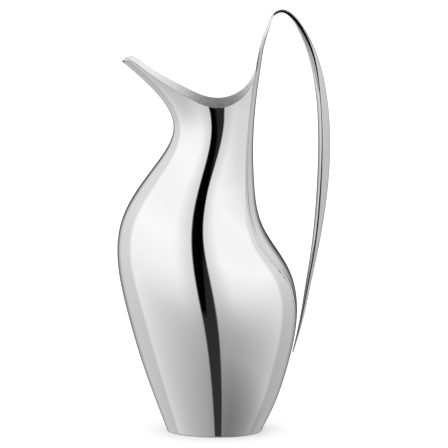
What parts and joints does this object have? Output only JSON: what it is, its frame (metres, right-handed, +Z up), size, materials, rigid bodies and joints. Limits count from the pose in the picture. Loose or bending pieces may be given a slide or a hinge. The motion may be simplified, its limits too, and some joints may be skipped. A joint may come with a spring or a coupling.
{
  "type": "water pitcher",
  "caption": "Tall polished steel water pitcher with a swelling belly, narrow neck, long beaked spout and a leaf-shaped loop handle rising from the rim.",
  "frame": {"origin": "middle of the foot's contact ring, on the table", "axes": "+Z up; the spout points to -X and the handle stands at +X; the jug is symmetric about the XZ plane"},
  "size_m": [0.1722, 0.12, 0.345],
  "materials": {
    "polished_steel": "mirror polished stainless steel",
    "satin_steel": "satin stainless steel",
    "weld_metal": "dressed weld metal"
  },
  "bodies": {
    "root": {"body_left_shell": "polished_steel", "body_right_shell": "polished_steel", "base_plate": "satin_steel", "foot_weld": "weld_metal", "front_seam_weld": "weld_metal", "rear_seam_weld": "weld_metal", "handle_strap": "polished_steel", "handle_inner_skin": "polished_steel", "handle_outer_skin": "polished_steel", "handle_tail": "polished_steel"}
  },
  "joints": []
}
